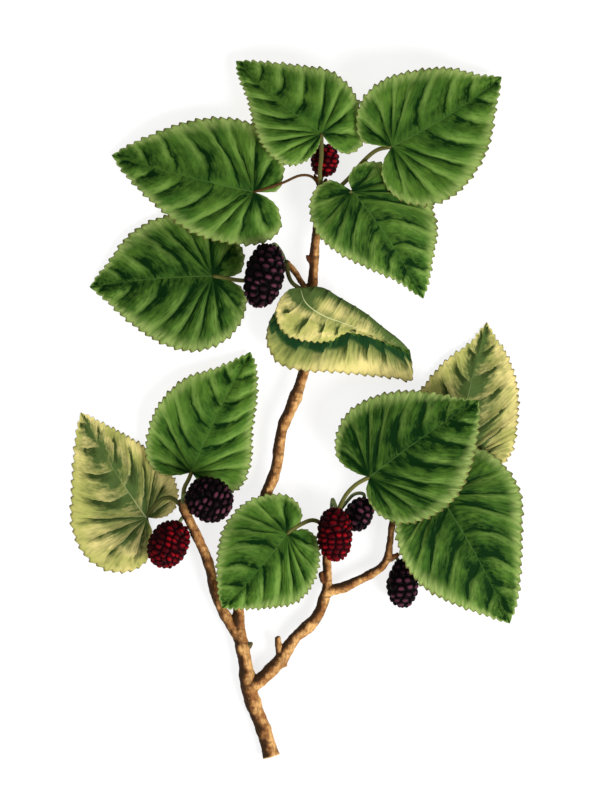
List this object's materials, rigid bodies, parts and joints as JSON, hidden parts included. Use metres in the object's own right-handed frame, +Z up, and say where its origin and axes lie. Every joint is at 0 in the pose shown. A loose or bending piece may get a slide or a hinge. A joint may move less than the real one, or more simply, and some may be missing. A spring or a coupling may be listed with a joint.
{
  "type": "mulberry sprig",
  "caption": "Cut mulberry sprig lying flat: forked woody twig with toothed heart-shaped leaves and red and dark purple berries.",
  "frame": {"origin": "bottom centre of the whole sprig's box, on the surface that it lies on", "axes": "+Y from the cut end of the stem to the top leaves, +Z up away from the surface"},
  "size_m": [0.2058, 0.3155, 0.0269],
  "materials": {
    "bark": "rough brown bark with swollen rings and pale specks",
    "leaf_green": "fresh green leaf, satin, dark along the veins",
    "leaf_pale": "pale yellow-green underside of a leaf, matte",
    "stalk_green": "green stalk, satin",
    "berry_red": "crimson fruit, wet gloss",
    "berry_dark": "purple-black ripe fruit, wet gloss"
  },
  "bodies": {
    "root": {"woody_twig": "bark", "leaf_top": "leaf_green", "leaf_top_right": "leaf_green", "leaf_upper_left": "leaf_green", "leaf_mid_left": "leaf_green", "leaf_mid_right": "leaf_green", "leaf_low_left_pale": "leaf_pale", "leaf_low_left": "leaf_green", "leaf_center": "leaf_green", "leaf_right": "leaf_green", "leaf_right_pale": "leaf_pale", "leaf_low_right": "leaf_green", "leaf_folded": "leaf_pale", "berry_top": "berry_red", "stalk_top": "stalk_green", "berry_upper_left": "berry_dark", "stalk_upper_left": "stalk_green", "berry_left_dark": "berry_dark", "stalk_left_dark": "stalk_green", "berry_left_red": "berry_red", "stalk_left_red": "stalk_green", "berry_middle_red": "berry_red", "stalk_middle_red": "stalk_green", "berry_right_hidden": "berry_dark", "stalk_right_hidden": "stalk_green", "berry_low_right": "berry_dark", "stalk_low_right": "stalk_green"}
  },
  "joints": []
}
